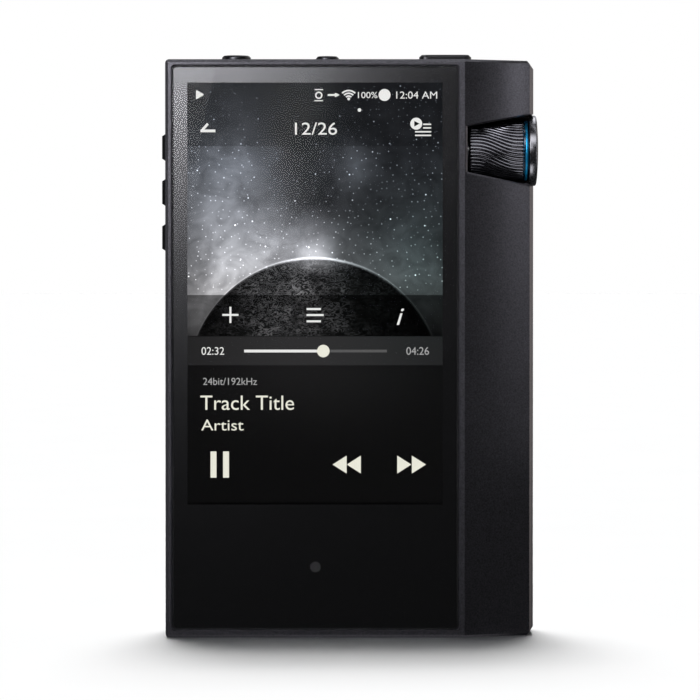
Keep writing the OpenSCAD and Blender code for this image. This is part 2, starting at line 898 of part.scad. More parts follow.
module encoder_body() {
    half_d = 3.85;
    color("#515459") difference() {
        union() {
            slab([encoder_x, wheel_block_x - fit], [mid_depth - half_d, mid_depth + half_d],
                [wheel_z - encoder_h, wheel_z + encoder_h]);
            for (z = [-2, 0, 2]) {
                slab([encoder_x - 2, encoder_x + cut], [board_front - fit - 0.3,
                    board_front - fit], [wheel_z + z - 0.4, wheel_z + z + 0.4]);
            }
        }
        rod_x([encoder_x + 1.2, encoder_x + 4.2], rotor_cavity_r, mid_depth, wheel_z);
        rod_x([encoder_x + 4, wheel_block_x], shaft_r + 0.1, mid_depth, wheel_z);
    }
}

module encoder_bush() {
    color("#8f949a") difference() {
        rod_x([wheel_block_x - fit, notch_x - fit], 2.8, mid_depth, wheel_z);
        rod_x([wheel_block_x - 1, notch_x + cut], shaft_r + 0.05, mid_depth, wheel_z);
    }
}

// ---- Charging socket and memory card ----

// Outline of the charging socket, made larger all round by `grow`
function usb_outline(grow) = [
    [-3.75 - grow, 6.3 - grow], [3.75 + grow, 6.3 - grow], [3.75 + grow, 8 + grow / 2],
    [2.9 + grow / 2, 9 + grow], [-2.9 - grow / 2, 9 + grow], [-3.75 - grow, 8 + grow / 2]
];

module usb_shell() {
    color("#b4b8bb") difference() {
        from_top(usb_z, usb_outline(0));
        from_top([usb_z[0] - cut, usb_z[1] - 0.4], usb_outline(-0.3));
    }
}

module usb_tongue() {
    color("#1a1a1a") slab([-1.85, 1.85], [6.95, 7.55], [1.2, usb_z[1] - 0.4]);
}

// A pressed lid with two side walls and a back wall, open towards the slot
module card_socket_cover() {
    skin = 0.2;
    z = [card_z - card_h / 2, card_z + card_h / 2];
    color("#c3c6c8") difference() {
        slab(card_x, card_depth, z);
        slab([card_x[0] - cut, card_x[1] - skin], [card_depth[0] + skin, card_depth[1] + cut],
            [z[0] + skin, z[1] - skin]);
    }
}

module card_socket_base() {
    z = [card_z - card_h / 2, card_z + card_h / 2];
    color("#1c1c1e") {
        slab(card_x, [card_depth[1], board_front - fit], z);
        for (side = [[z[0] + 0.25, z[0] + 1.2], [z[1] - 1.2, z[1] - 0.25]]) {
            slab([card_x[0], card_x[1] - 0.25], [card_depth[0] + 0.3, card_depth[1] + cut], side);
        }
    }
}

// ---- Screws ----

module case_screws() {
    color("#2a2a2c") {
        for (x = case_screw_x) {
            difference() {
                rod_z(x, case_screw_depth, [0.2, 1], 1.15);
                slab([x - 0.7, x + 0.7], [case_screw_depth - 0.15, case_screw_depth + 0.15],
                    [0.1, 0.5]);
                slab([x - 0.15, x + 0.15], [case_screw_depth - 0.7, case_screw_depth + 0.7],
                    [0.1, 0.5]);
            }
            rod_z(x, case_screw_depth, [0.9, wall + 2.4], screw_r);
        }
    }
}

module board_screws() {
    color("#8b8f93") {
        for (place = board_screw_places) {
            difference() {
                rod_d(place[0], [board_back, board_back + 0.55], 1.4, place[1]);
                slab([place[0] - 0.8, place[0] + 0.8], [board_back + 0.25, board_back + 0.65],
                    [place[1] - 0.15, place[1] + 0.15]);
            }
            rod_d(place[0], [5.7, board_back + 0.1], screw_r, place[1]);
        }
    }
}

main_body();
back_cover();
cover_glass();
glass_adhesive();
touch_sensor();
home_key_sensor();
lcd_panel();
backlight_unit();
display_flex();
display_bracket();
main_board();
shield_cans();
processor();
memory_chips();
audio_converters();
headphone_amplifiers();
power_chip();
clock_crystals();
capacitors();
display_connector();
wireless_module();
antenna_film();
battery_cell();
battery_leads();
battery_connector();
battery_adhesive();
headphone_jack();
balanced_jack();
headphone_collar();
balanced_collar();
jack_contacts();
power_button();
power_switch();
power_switch_plunger();
previous_button();
play_button();
next_button();
previous_plunger();
play_plunger();
next_plunger();
side_switches();
side_key_flex();
key_bracket();
volume_wheel();
wheel_hub();
wheel_accent_ring();
wheel_end_cap();
wheel_shaft();
encoder_rotor();
encoder_body();
encoder_bush();
usb_shell();
usb_tongue();
card_socket_cover();
card_socket_base();
case_screws();
board_screws();
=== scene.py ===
"""Looks for the digital audio player: materials, glass, lit display, ribbed wheel, lights and camera."""

import math

import bmesh
import bpy
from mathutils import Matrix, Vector


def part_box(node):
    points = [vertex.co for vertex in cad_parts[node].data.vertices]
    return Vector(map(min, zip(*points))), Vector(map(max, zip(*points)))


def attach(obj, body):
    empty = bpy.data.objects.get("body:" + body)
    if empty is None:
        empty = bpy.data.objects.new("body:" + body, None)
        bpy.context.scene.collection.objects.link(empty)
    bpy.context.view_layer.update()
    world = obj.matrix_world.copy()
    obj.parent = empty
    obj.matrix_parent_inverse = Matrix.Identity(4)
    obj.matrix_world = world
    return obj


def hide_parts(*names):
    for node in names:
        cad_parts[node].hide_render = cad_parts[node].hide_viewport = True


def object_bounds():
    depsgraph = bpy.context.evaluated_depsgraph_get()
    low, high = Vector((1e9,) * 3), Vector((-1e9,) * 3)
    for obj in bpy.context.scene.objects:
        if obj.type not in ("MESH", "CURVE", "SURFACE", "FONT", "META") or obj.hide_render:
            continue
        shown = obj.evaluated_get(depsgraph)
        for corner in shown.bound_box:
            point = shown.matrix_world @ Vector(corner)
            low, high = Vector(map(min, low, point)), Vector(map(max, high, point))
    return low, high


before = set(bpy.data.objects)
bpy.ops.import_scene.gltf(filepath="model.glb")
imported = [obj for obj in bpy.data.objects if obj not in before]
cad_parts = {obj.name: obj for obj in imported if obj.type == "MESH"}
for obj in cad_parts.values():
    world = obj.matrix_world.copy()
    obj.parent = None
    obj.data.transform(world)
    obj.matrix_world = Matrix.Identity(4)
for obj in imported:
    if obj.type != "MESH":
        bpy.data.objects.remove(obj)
cad_low, cad_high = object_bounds()

MM = 0.001
FRONT = cad_low.y / MM
HOUSING = "housing"
WHEEL = "volume_wheel_body"

# A Mix node's places for its two colours and for its colour result.
MIX_FIRST = 6
MIX_SECOND = 7
MIX_COLOUR = 2

# The length in which a Wave texture of scale 1 repeats.
WAVE_PERIOD = math.tau / 20


# ---------------------------------------------------------------- node patterns


class Value:
    """A number inside a node tree, so that a pattern reads as a formula."""

    def __init__(self, tree, socket):
        self.tree = tree
        self.socket = socket

    def step(self, operation, *others):
        """One Math node on this number and the others."""
        node = self.tree.nodes.new("ShaderNodeMath")
        node.operation = operation
        for place, item in enumerate((self, *others)):
            if isinstance(item, Value):
                self.tree.links.new(item.socket, node.inputs[place])
            else:
                node.inputs[place].default_value = item
        return Value(self.tree, node.outputs[0])

    def __add__(self, other):
        return self.step("ADD", other)

    def __sub__(self, other):
        return self.step("SUBTRACT", other)

    def __mul__(self, other):
        return self.step("MULTIPLY", other)

    def __truediv__(self, other):
        return self.step("DIVIDE", other)

    def above(self, edge, soft=0.001):
        """1 where this is over the edge, 0 where it is under, with a soft step."""
        return ((self - edge) / soft + 0.5).step("MAXIMUM", 0.0).step("MINIMUM", 1.0)

    def below(self, edge, soft=0.001):
        """1 where this is under the edge, 0 where it is over."""
        return self.above(edge, soft).flipped()

    def flipped(self):
        """One less this number."""
        return self * -1.0 + 1.0

    def bell(self, centre, width):
        """A smooth bump of height 1 round the centre."""
        away = (self - centre) / width
        return (away * away * -1.0).step("EXPONENT")


class Surface:
    """A Principled material whose patterns are laid out in millimetres of the shared frame."""

    def __init__(self, name, colour, metallic=0.0, roughness=0.5, **sockets):
        self.material = bpy.data.materials.new(name)
        self.material.use_nodes = True
        self.tree = self.material.node_tree
        self.shader = self.tree.nodes["Principled BSDF"]
        self.colour = colour
        self.set("Base Color", (*colour, 1))
        self.set("Metallic", metallic)
        self.set("Roughness", roughness)
        for socket, number in sockets.items():
            self.set(socket.replace("_", " "), number)
        coords = self.tree.nodes.new("ShaderNodeTexCoord")
        scale = self.tree.nodes.new("ShaderNodeVectorMath")
        scale.operation = "SCALE"
        scale.inputs["Scale"].default_value = 1 / MM
        self.tree.links.new(coords.outputs["Object"], scale.inputs[0])
        self.where = scale.outputs[0]

    def set(self, socket, number):
        self.shader.inputs[socket].default_value = number

    def link(self, value, socket):
        source = value.socket if isinstance(value, Value) else value
        self.tree.links.new(source, self.shader.inputs[socket])

    def axis(self, letter):
        """How far along X, Y or Z a point is, in millimetres."""
        split = self.tree.nodes.new("ShaderNodeSeparateXYZ")
        self.tree.links.new(self.where, split.inputs[0])
        return Value(self.tree, split.outputs["XYZ".index(letter)])

    def stretched(self, stretch):
        """The place of a point, with each axis drawn out by its own factor."""
        if stretch == (1, 1, 1):
            return self.where
        scale = self.tree.nodes.new("ShaderNodeVectorMath")
        scale.operation = "MULTIPLY"
        self.tree.links.new(self.where, scale.inputs[0])
        scale.inputs[1].default_value = [1 / s for s in stretch]
        return scale.outputs[0]

    def noise(self, size, detail=3.0, stretch=(1, 1, 1), warp=0.0):
        """Cloudy noise from about 0 to 1, with features of that size in millimetres."""
        node = self.tree.nodes.new("ShaderNodeTexNoise")
        node.inputs["Scale"].default_value = 1 / size
        node.inputs["Detail"].default_value = detail
        node.inputs["Distortion"].default_value = warp
        self.tree.links.new(self.stretched(stretch), node.inputs["Vector"])
        return Value(self.tree, node.outputs["Fac"])

    def cells(self, size, feature="F1", distance="EUCLIDEAN", output="Distance", flat=False):
        """Voronoi cells of that size. Flat cells are laid out on the front face."""
        node = self.tree.nodes.new("ShaderNodeTexVoronoi")
        node.feature = feature
        if feature != "DISTANCE_TO_EDGE":
            node.distance = distance
        node.inputs["Scale"].default_value = 1 / size
        where = self.where
        if flat:
            node.voronoi_dimensions = "2D"
            join = self.tree.nodes.new("ShaderNodeCombineXYZ")
            self.tree.links.new(self.axis("X").socket, join.inputs[0])
            self.tree.links.new(self.axis("Z").socket, join.inputs[1])
            where = join.outputs[0]
        self.tree.links.new(where, node.inputs["Vector"])
        return Value(self.tree, node.outputs[output])

    def bands(self, size, letter="X", warp=0.0):
        """Stripes from 0 to 1 across an axis, one every size millimetres."""
        node = self.tree.nodes.new("ShaderNodeTexWave")
        node.bands_direction = letter
        node.inputs["Scale"].default_value = WAVE_PERIOD / size
        node.inputs["Distortion"].default_value = warp
        self.tree.links.new(self.where, node.inputs["Vector"])
        return Value(self.tree, node.outputs["Fac"])

    def mix(self, factor, first, second):
        """A colour that goes from the first to the second as the factor goes from 0 to 1."""
        node = self.tree.nodes.new("ShaderNodeMix")
        node.data_type = "RGBA"
        self.tree.links.new(factor.socket, node.inputs["Factor"])
        for place, colour in ((MIX_FIRST, first), (MIX_SECOND, second)):
            if isinstance(colour, tuple):
                node.inputs[place].default_value = (*colour, 1)
            else:
                self.tree.links.new(colour, node.inputs[place])
        return node.outputs[MIX_COLOUR]

    def grey(self, value):
        """The colour grey, of that value."""
        node = self.tree.nodes.new("ShaderNodeCombineXYZ")
        for place in range(3):
            self.tree.links.new(value.socket, node.inputs[place])
        return node.outputs[0]

    def product(self, first, second):
        """One colour tinted by another."""
        node = self.tree.nodes.new("ShaderNodeVectorMath")
        node.operation = "MULTIPLY"
        self.tree.links.new(first, node.inputs[0])
        self.tree.links.new(second, node.inputs[1])
        return node.outputs[0]

    def shade(self, factor, spread):
        """The base colour varies by the spread either way as the factor goes from 0 to 1."""
        dark = tuple(c * (1 - spread) for c in self.colour)
        pale = tuple(min(1.0, c * (1 + spread)) for c in self.colour)
        self.link(self.mix(factor, dark, pale), "Base Color")
        return self

    def rough(self, factor, low, high):
        """The roughness goes from low to high as the factor goes from 0 to 1."""
        self.link(factor * (high - low) + low, "Roughness")
        return self

    def bump(self, height, depth, strength=1.0):
        """The height, from 0 to 1, stands that many millimetres proud."""
        node = self.tree.nodes.new("ShaderNodeBump")
        node.inputs["Strength"].default_value = strength
        node.inputs["Distance"].default_value = depth * MM
        self.tree.links.new(height.socket, node.inputs["Height"])
        self.tree.links.new(node.outputs[0], self.shader.inputs["Normal"])
        return self


# ---------------------------------------------------------------- materials


def blasted(name, colour, roughness, grain, metallic, spread, depth):
    """Bead-blasted and anodised metal: a fine grain, a little uneven over wider patches."""
    surface = Surface(name, colour, metallic, roughness)
    fine = surface.noise(grain, 2.0)
    wide = surface.noise(9.0, 2.0)
    surface.shade(fine * 0.85 + wide * 0.15, spread)
    surface.rough(fine, roughness - 0.06, roughness + 0.06)
    return surface.bump(fine, depth)


def brushed(name, colour, roughness, along, metallic=1.0, depth=0.003):
    """Metal with fine lines along the X or the Z axis."""
    stretch = {"X": (30, 1, 1), "Z": (1, 1, 30)}[along]
    surface = Surface(name, colour, metallic, roughness)
    lines = surface.noise(0.12, 3.0, stretch)
    surface.shade(lines, 0.2)
    surface.rough(lines, roughness - 0.08, roughness + 0.1)
    return surface.bump(lines, depth)


def moulded(name, colour, roughness, grain=0.3, spread=0.12, depth=0.01):
    """Moulded plastic: a soft texture and slightly uneven gloss."""
    surface = Surface(name, colour, 0.0, roughness)
    texture = surface.noise(grain, 4.0)
    surface.shade(surface.noise(4.0, 3.0), spread)
    surface.rough(texture, roughness - 0.08, roughness + 0.08)
    return surface.bump(texture, depth)


def film(name, colour, second, roughness, pitch, letter):
    """Thin printed or etched film with tracks."""
    surface = Surface(name, colour, 0.0, roughness)
    tracks = surface.bands(pitch, letter, 0.4).above(0.62, 0.15)
    surface.link(surface.mix(tracks, colour, second), "Base Color")
    surface.link(tracks * 0.7, "Metallic")
    return surface.bump(tracks, 0.01)


def board():
    """Dark solder mask over copper tracks, with tinned pads between."""
    mask = (0.006, 0.03, 0.018)
    surface = Surface("board_mask", mask, 0.0, 0.35, Coat_Weight=0.3)
    tracks = surface.cells(1.6, "DISTANCE_TO_EDGE").below(0.09, 0.03)
    pads = surface.cells(2.2, distance="CHEBYCHEV").below(0.16, 0.02)
    tone = surface.mix(tracks, mask, (0.012, 0.07, 0.035))
    surface.link(surface.mix(pads, tone, (0.62, 0.5, 0.26)), "Base Color")
    surface.link(pads, "Metallic")
    return surface.bump(tracks + pads, 0.02)


def chip(name, colour):
    """Moulded chip resin with paler and darker patches and a fine grit."""
    surface = Surface(name, colour, 0.0, 0.55)
    grit = surface.noise(0.08, 2.0)
    surface.shade(surface.noise(1.5, 2.0), 0.25)
    surface.rough(grit, 0.42, 0.68)
    return surface.bump(grit, 0.008)


def wrapped(name, colour):
    """Shrink-wrapped film over the battery, with soft creases."""
    surface = Surface(name, colour, 0.25, 0.32, Coat_Weight=0.4, Coat_Roughness=0.2)
    creases = surface.noise(3.5, 3.0, (1, 1, 3), 0.8)
    surface.shade(creases, 0.18)
    surface.rough(creases, 0.22, 0.45)
    return surface.bump(creases, 0.12)


def carbon():
    """Glossy back: a two-over-two twill weave sealed under clear lacquer."""
    surface = Surface("woven_back", (0.012, 0.012, 0.014), 0.3, 0.42)
    surface.set("Coat Weight", 1.0)
    surface.set("Coat Roughness", 0.04)
    cell = 1.1
    thread = 0.37
    column = (surface.axis("X") / cell).step("FLOOR")
    row = (surface.axis("Z") / cell).step("FLOOR")
    twill = (column + row).step("FLOORED_MODULO", 4.0).above(1.5, 0.1)
    threads = surface.bands(thread, "X") * twill + surface.bands(thread, "Z") * twill.flipped()
    weave = twill * 0.6 + threads * 0.4
    surface.link(surface.mix(weave, (0.006, 0.006, 0.007), (0.085, 0.085, 0.095)), "Base Color")
    surface.rough(twill, 0.3, 0.5)
    return surface.bump(weave, 0.012, 0.6)


metal = blasted("anodised_housing", (0.085, 0.083, 0.094), 0.36, grain=0.25, metallic=0.9, spread=0.8,
                depth=0.012)
key_metal = blasted("anodised_keys", (0.011, 0.011, 0.013), 0.3, grain=0.15, metallic=0.5, spread=0.25,
                    depth=0.003)
collar_metal = brushed("turned_collars", (0.03, 0.03, 0.033), 0.28, "Z")
grip_metal = brushed("turned_grip", (0.1, 0.1, 0.11), 0.14, "X", metallic=0.95, depth=0.001)
hub_metal = brushed("turned_hub", (0.01, 0.01, 0.011), 0.4, "X")
cap_metal = blasted("polished_cap", (0.17, 0.17, 0.18), 0.22, grain=0.3, metallic=0.95, spread=0.1,
                    depth=0.0006)
blue_metal = brushed("blue_ring_anodising", (0.006, 0.3, 0.6), 0.32, "Z", metallic=0.6, depth=0.001)
steel = brushed("rolled_steel", (0.52, 0.52, 0.54), 0.3, "X")
gold = brushed("plated_contacts", (0.8, 0.55, 0.2), 0.22, "Z")
screw_steel = brushed("black_screws", (0.03, 0.03, 0.033), 0.35, "X")
dark_plastic = moulded("dark_moulding", (0.018, 0.018, 0.02), 0.5)
pale_plastic = moulded("pale_moulding", (0.62, 0.6, 0.55), 0.45)
tape = moulded("foam_tape", (0.02, 0.02, 0.022), 0.85, grain=0.2, spread=0.2, depth=0.03)
white_film = moulded("diffuser_film", (0.75, 0.77, 0.8), 0.4, grain=0.1, spread=0.04, depth=0.004)
panel_face = moulded("panel_stack", (0.02, 0.021, 0.026), 0.2, grain=0.15, spread=0.2, depth=0.003)
ribbon = film("ribbon_tracks", (0.32, 0.13, 0.02), (0.7, 0.42, 0.14), 0.4, pitch=0.6, letter="X")
antenna_tracks = film("antenna_tracks", (0.05, 0.05, 0.055), (0.6, 0.4, 0.2), 0.45, pitch=1.8, letter="Z")
electrode = film("key_electrode", (0.2, 0.22, 0.24), (0.5, 0.52, 0.55), 0.3, pitch=0.5, letter="Z")
board_mask = board()
chip_resin = chip("chip_resin", (0.014, 0.014, 0.015))
capacitor_resin = chip("capacitor_resin", (0.42, 0.2, 0.05))
battery_wrap = wrapped("battery_wrap", (0.3, 0.32, 0.35))
wire_sleeve = moulded("wire_sleeves", (0.35, 0.015, 0.012), 0.4, grain=0.2, spread=0.15, depth=0.01)
woven_back = carbon()

CAD_SURFACES = {
    metal: ("main_body",),
    woven_back: ("back_cover",),
    key_metal: ("power_button", "previous_button", "play_button", "next_button"),
    collar_metal: ("headphone_collar", "balanced_collar"),
    hub_metal: ("wheel_hub",),
    steel: ("display_bracket", "shield_cans", "wheel_shaft", "encoder_bush", "usb_shell",
            "card_socket_cover", "key_bracket", "clock_crystals"),
    gold: ("jack_contacts",),
    screw_steel: ("case_screws", "board_screws"),
    dark_plastic: ("headphone_jack", "balanced_jack", "encoder_body", "usb_tongue", "card_socket_base",
                   "display_connector", "power_switch", "side_switches"),
    pale_plastic: ("encoder_rotor", "battery_connector", "power_switch_plunger", "previous_plunger",
                   "play_plunger", "next_plunger"),
    tape: ("glass_adhesive", "battery_adhesive"),
    white_film: ("backlight_unit",),
    panel_face: ("lcd_panel",),
    ribbon: ("display_flex", "side_key_flex"),
    antenna_tracks: ("antenna_film",),
    electrode: ("home_key_sensor",),
    board_mask: ("main_board",),
    chip_resin: ("processor", "memory_chips", "audio_converters", "headphone_amplifiers", "power_chip",
                 "wireless_module"),
    capacitor_resin: ("capacitors",),
    battery_wrap: ("battery_cell",),
    wire_sleeve: ("battery_leads",),
}
for surface, names in CAD_SURFACES.items():
    for name in names:
        node_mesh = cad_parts[name].data
        node_mesh.materials.clear()
        node_mesh.materials.append(surface.material)


def soften(node, width):
    """Rounds a CAD node's sharp edges by a hair, as polishing does."""
    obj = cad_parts[node]
    weld = obj.modifiers.new("weld", "WELD")
    weld.merge_threshold = 1e-6
    bevel = obj.modifiers.new("edge", "BEVEL")
    bevel.width = width * MM
    bevel.segments = 2
    bevel.limit_method = "ANGLE"
    bevel.angle_limit = math.radians(25)


# ---------------------------------------------------------------- mesh pieces


def piece(name, points, faces, surface, body=HOUSING, slot=None, stands_for=(), smooth=40):
    """A mesh given in millimetres, riding on a CAD body. Smooth is the angle that stays sharp."""
    mesh = bpy.data.meshes.new(name)
    mesh.from_pydata([Vector(p) * MM for p in points], [], faces)
    build = bmesh.new()
    build.from_mesh(mesh)
    bmesh.ops.remove_doubles(build, verts=build.verts, dist=1e-7)
    bmesh.ops.recalc_face_normals(build, faces=build.faces)
    build.to_mesh(mesh)
    build.free()
    mesh.materials.append(surface.material)
    obj = bpy.data.objects.new(name, mesh)
    bpy.context.scene.collection.objects.link(obj)
    if smooth:
        mesh.shade_smooth()
        mesh.set_sharp_from_angle(angle=math.radians(smooth))
    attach(obj, body)
    if stands_for:
        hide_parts(*stands_for)
    return obj


def circle(centre_a, centre_b, radius, steps):
    """Points round a circle, anticlockwise."""
    turns = [math.tau * i / steps for i in range(steps)]
    return [(centre_a + radius * math.cos(t), centre_b + radius * math.sin(t)) for t in turns]


def rounded(x0, x1, z0, z1, radius):
    """A rounded rectangle as (x, z) points, anticlockwise."""
    steps = 8
    points = []
    corners = ((x1, z0, -90), (x1, z1, 0), (x0, z1, 90), (x0, z0, 180))
    for x, z, turn in corners:
        cx = x - radius if x == x1 else x + radius
        cz = z - radius if z == z1 else z + radius
        for i in range(steps + 1):
            a = math.radians(turn + 90 * i / steps)
            points.append((cx + radius * math.cos(a), cz + radius * math.sin(a)))
    return points


def ring_faces(rings, count, closed):
    """The sides between rings of points. A closed set joins its last ring to its first."""
    faces = []
    for ring in range(rings if closed else rings - 1):
        near = ring * count
        far = (ring + 1) % rings * count
        for i in range(count):
            j = (i + 1) % count
            faces.append((near + i, near + j, far + j, far + i))
    return faces


def plate(name, outlines, **where):
    """A closed plate lofted through (depth, outline) pairs, capped at both ends."""
    count = len(outlines[0][1])
    points = [(x, FRONT + d, z) for d, outline in outlines for x, z in outline]
    caps = [tuple(range(count)), tuple(range(len(points) - count, len(points)))]
    return piece(name, points, caps + ring_faces(len(outlines), count, False), **where)


def frame_plate(name, outer, inner, near, far, **where):
    """A flat ring between two outlines with the same number of points."""
    rings = ((outer, near), (inner, near), (inner, far), (outer, far))
    points = [(x, FRONT + d, z) for outline, d in rings for x, z in outline]
    return piece(name, points, ring_faces(len(rings), len(outer), True), **where)


def turned(name, profile, **where):
    """A ring turned about the wheel's axis from a closed (x, radius) profile."""
    segments = 160
    points = []
    for i in range(segments):
        a = math.tau * i / segments
        points += [(x, r * math.sin(a), AXIS_Z + r * math.cos(a)) for x, r in profile]
    return piece(name, points, ring_faces(segments, len(profile), True), body=WHEEL, **where)


# ---------------------------------------------------------------- front glass and its print

glass_low, glass_high = (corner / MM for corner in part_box("cover_glass"))
panel_low, panel_high = (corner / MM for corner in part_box("lcd_panel"))
home_low, home_high = (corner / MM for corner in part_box("home_key_sensor"))

# Depths behind the front face. The prints lie just behind the glass, the marks and then the
# display's picture behind those.
GLASS_BACK = glass_high.y - FRONT - 0.03
HOME_DEPTHS = (GLASS_BACK + 0.002, GLASS_BACK + 0.008)
BORDER_DEPTHS = (GLASS_BACK + 0.01, GLASS_BACK + 0.025)
MARK_DEPTH = GLASS_BACK + 0.06
MARK_THICK = 0.008
LAYER_STEP = 0.01
IMAGE_DEPTHS = (GLASS_BACK + 0.09, GLASS_BACK + 0.19)

# The lit area, inside the panel's own rim.
SCREEN_X0 = panel_low.x + 0.98
SCREEN_X1 = panel_high.x - 1.1
SCREEN_Z0 = panel_low.z + 4.29
SCREEN_Z1 = panel_high.z - 1.29

clear_glass = Surface("clear_glass", (0.002, 0.002, 0.003), 0.0, 0.02, Alpha=0.12)
clear_glass.rough(clear_glass.noise(14.0, 4.0), 0.01, 0.03)


def glass_outline(inset, radius):
    """The glass's outline, drawn in from its CAD box."""
    return rounded(glass_low.x + inset, glass_high.x - inset, glass_low.z + inset,
                   glass_high.z - inset, radius)


def front_glass():
    """The pane, with a quarter-round edge at its front."""
    edge = 0.22
    corner = 0.6
    outlines = []
    for angle in (90, 60, 30, 0):
        depth = edge * (1 - math.sin(math.radians(angle)))
        inset = edge * (1 - math.cos(math.radians(angle)))
        outlines.append((depth, glass_outline(inset, corner - inset * 0.5)))
    outlines.append((GLASS_BACK, glass_outline(0, corner)))
    plate("front_glass", outlines, surface=clear_glass, slot="front_glass", stands_for=("cover_glass",),
          smooth=20)


front_glass()

ink = Surface("border_ink", (0.22, 0.22, 0.228), 1.0, 0.14)
ink_grain = ink.noise(0.5, 3.0)
ink.shade(ink_grain, 0.05)
ink.rough(ink_grain, 0.12, 0.16)
frame_plate("border_print", glass_outline(0.3, 0.5),
            rounded(SCREEN_X0, SCREEN_X1, SCREEN_Z0, SCREEN_Z1, 0.08), *BORDER_DEPTHS, surface=ink,
            slot="front_glass", smooth=None)

home_ink = Surface("home_mark_ink", (0.03, 0.03, 0.034), 0.0, 0.6)
home_ink.shade(home_ink.noise(0.3, 2.0), 0.15)
home_circle = circle((home_low.x + home_high.x) / 2, (home_low.z + home_high.z) / 2, 0.9, 48)
plate("home_mark", [(depth, home_circle) for depth in HOME_DEPTHS], surface=home_ink,
      slot="front_glass", smooth=None)


# ---------------------------------------------------------------- lit display

# Places on the display, in millimetres from its lower left corner.
SKY_LOW = 35.1
HEADER_LOW = 60.0
PROGRESS_HIGH = 28.26
PROGRESS_LOW = 23.24
PLANET_X = 21.28
PLANET_Z = 19.98
PLANET_R = 21.32
STATUS_ROW = 68.55
TRACK_ROW = 62.95
TOOL_ROW = 31.75
TIME_ROW = 25.72
CONTROL_ROW = 6.7

# Tones are picked as they look, so this turns them into light.
DISPLAY_GAMMA = 2.2

# The built-in font's capitals are this high at size 1.
FONT_CAP = 0.7


class Picture(Surface):
    """The display's picture: a cloudy night sky over the limb of a dark planet, with panels below."""

    def __init__(self):
        super().__init__("lit_image", (0.002, 0.002, 0.002), 0.0, 0.5, Specular_IOR_Level=0.0)
        self.a = self.axis("X") - SCREEN_X0
        self.b = self.axis("Z") - SCREEN_Z0
        from_x = self.a - PLANET_X
        from_z = self.b - PLANET_Z
        self.radius = (from_x * from_x + from_z * from_z).step("SQRT")
        self.outside = self.radius.above(PLANET_R, 0.08)

    def patch(self, x, z, wide, tall, height):
        """A soft bright patch round a place."""
        return self.a.bell(x, wide) * self.b.bell(z, tall) * height

    def sky(self):
        """Clouds, brightest at the left and just above the planet's top."""
        drift = self.noise(9.0, 8.0, (1, 1, 1.3), 0.6)
        wisps = self.noise(3.2, 8.0, (1.2, 1, 1), 1.2)
        clouds = self.patch(7, 48, 8.5, 18, 0.4) + self.patch(2, 34, 9, 9, 0.38)
        clouds = clouds + self.patch(16, 42, 8, 6, 0.28) + self.patch(22, 44, 6, 4, 0.16)
        clouds = clouds + self.patch(31, 40, 6, 5, 0.13) + self.patch(40, 37, 8, 8, 0.15)
        clouds = clouds + self.patch(28, 57, 4, 5, 0.13) + self.patch(35, 52, 8, 6, 0.06) + 0.16
        clouds = clouds * (drift * 1.1 + wisps * 0.7 + 0.12)
        return clouds + self.patch(PLANET_X, PLANET_Z + PLANET_R + 0.4, 3.2, 1.6, 0.42)

    def ground(self):
        """The planet's rough land, lit on its upper left."""
        hills = self.noise(0.8, 6.0, (1.5, 1, 0.8), 1.2)
        ridges = (hills - 0.5).step("ABSOLUTE").below(0.035, 0.07)
        rough_parts = self.noise(3.5, 4.0).above(0.42, 0.25)
        lit_side = self.a.bell(17, 11) * self.b.bell(28, 11)
        land = ridges * rough_parts * (lit_side * 0.6 + 0.06) + lit_side * 0.2 + 0.04
        return land + self.patch(PLANET_X, PLANET_Z + PLANET_R - 0.6, 4.6, 1.6, 0.42)

    def rim(self):
        """A thin bright line along the planet's edge, which fades away from the top."""
        fade = self.a.bell(PLANET_X, 7) * 0.55 + self.a.bell(PLANET_X, 22) * 0.3
        return self.radius.bell(PLANET_R - 0.05, 0.2) * fade

    def stars(self):
        """Many small stars and a few large ones, in the open sky."""
        small = self.cells(1.2, flat=True)
        small_on = self.cells(1.2, output="Color", flat=True).above(0.45, 0.5)
        large = self.cells(4.4, flat=True)
        large_on = self.cells(4.4, output="Color", flat=True).above(0.45, 0.4)
        both = small.below(0.06, 0.08) * small_on * 0.75 + large.below(0.025, 0.022) * large_on
        return both * self.outside * self.b.above(SKY_LOW, 0.05)

    def panels(self):
        """The strip behind the time line, and the dark panel below it."""
        wide = SCREEN_X1 - SCREEN_X0
        middle = self.a.bell(wide / 2, wide * 0.45)
        edges = self.b.bell(PROGRESS_HIGH, 0.1) + self.b.bell(PROGRESS_LOW, 0.1)
        strip = middle * 0.06 + 0.16 - edges * 0.1
        lower = self.b.bell(PROGRESS_LOW, 10.0) * middle * 0.055 + 0.085
        return strip, lower * (self.b.below(0.35, 0.05) * -0.5 + 1.0)

    def lit(self):
        """Puts the parts together and gives them out as light."""
        tools = self.b.below(SKY_LOW, 0.05)
        header = self.b.above(HEADER_LOW, 0.05)
        tone = self.sky() * self.outside + self.ground() * self.outside.flipped() + self.rim()
        tone = tone * (tools * -0.45 + 1.0) * (header * -0.28 + 1.0) + header * 0.025
        tone = tone + self.stars() * (header * -0.4 + 1.0)

        strip, lower = self.panels()
        is_sky = self.b.above(PROGRESS_HIGH, 0.02)
        is_strip = self.b.above(PROGRESS_LOW, 0.02) * is_sky.flipped()
        is_lower = self.b.below(PROGRESS_LOW, 0.02)
        tone = tone * is_sky + strip * is_strip + lower * is_lower
        light = tone.step("MAXIMUM", 0.0).step("POWER", DISPLAY_GAMMA)

        blue = self.mix(self.b.above(46, 22.0), (1.0, 0.99, 1.02), (0.9, 0.98, 1.14))
        green = self.mix(self.a.above(30, 16.0) * self.b.bell(40, 14), (1.0, 1.0, 1.0), (0.84, 1.06, 1.04))
        tint = self.product(blue, green)
        self.link(self.product(tint, self.grey(light)), "Emission Color")
        self.set("Emission Strength", 1.0)
        return self


